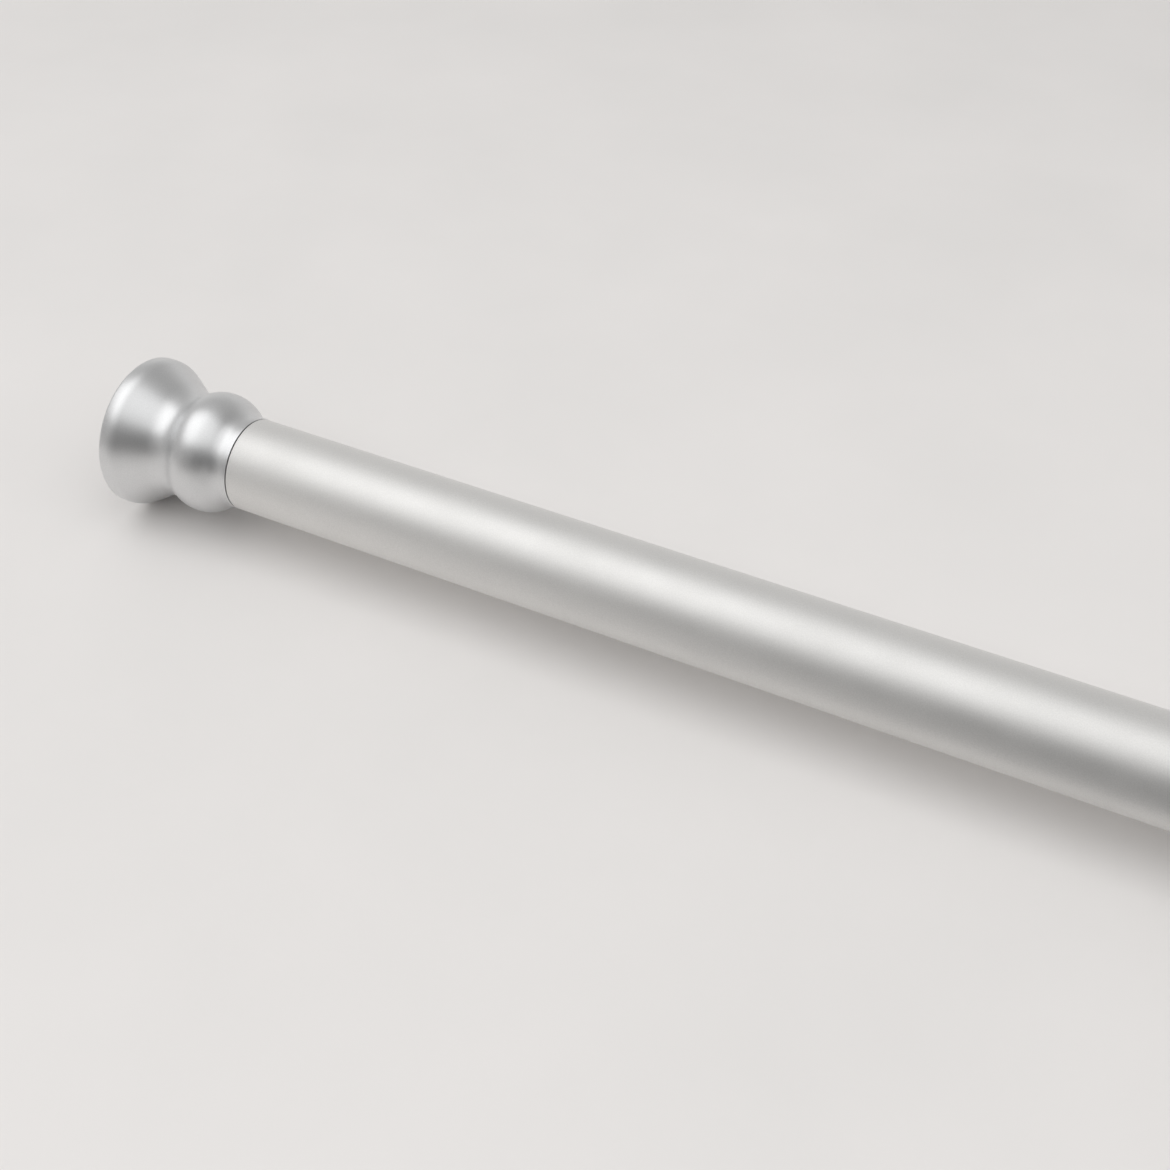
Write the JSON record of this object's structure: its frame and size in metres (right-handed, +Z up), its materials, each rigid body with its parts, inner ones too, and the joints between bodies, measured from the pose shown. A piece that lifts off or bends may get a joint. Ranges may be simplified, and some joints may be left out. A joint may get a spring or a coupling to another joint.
{
  "type": "spring tension rod",
  "caption": "Telescoping spring tension rod with flared end caps, rubber wall pads and a twist-lock cam, held between two walls to hang a curtain.",
  "frame": {"origin": "centre of the wide tube's wall pad, on the plane of the wall it stands against", "axes": "+X along the rod from the wide tube's wall towards the thin tube's wall, +Z up"},
  "size_m": [0.8258, 0.0414, 0.0414],
  "materials": {
    "tube_silver": "satin silver coat on steel",
    "cap_silver": "semi-gloss metallic silver on moulded plastic",
    "pad_rubber": "matt moulded rubber",
    "bush_plastic": "matt grey moulding",
    "lock_plastic": "natural nylon moulding",
    "plated_steel": "zinc plated",
    "spring_steel": "drawn spring wire"
  },
  "bodies": {
    "outer_body": {"outer_tube": "tube_silver", "outer_end_cap": "cap_silver", "outer_wall_pad": "pad_rubber", "mouth_bush": "bush_plastic"},
    "ring_body": {"guide_ring": "lock_plastic"},
    "lock_body": {"lock_spindle": "lock_plastic", "nose_disc": "lock_plastic", "nose_screw": "plated_steel", "spring_washer": "plated_steel", "tail_screw": "plated_steel", "compression_spring": "spring_steel"},
    "collar_body": {"cam_collar": "lock_plastic"},
    "inner_body": {"inner_tube": "tube_silver", "guide_bush": "lock_plastic", "spring_stop": "lock_plastic", "inner_end_cap": "cap_silver", "inner_wall_pad": "pad_rubber"}
  },
  "joints": [
    {"name": "length_slide", "type": "slide", "parent": "outer_body", "child": "ring_body", "axis": [1, 0, 0], "range_m": [-0.079, 0.39]},
    {"name": "tube_twist", "type": "hinge", "parent": "ring_body", "child": "lock_body", "pos_m": [0.18998, 0, 0], "axis": [1, 0, 0], "continuous": true},
    {"name": "cam_swing", "type": "hinge", "parent": "lock_body", "child": "collar_body", "pos_m": [0.19953, 0.0012, 0], "axis": [1, 0, 0], "range_deg": [0, 26]},
    {"name": "spring_slide", "type": "slide", "parent": "lock_body", "child": "inner_body", "axis": [1, 0, 0], "range_m": [-0.03, 0], "stiffness_N_per_m": 3600, "springref_m": 0.01, "deforming": ["compression_spring"]}
  ]
}
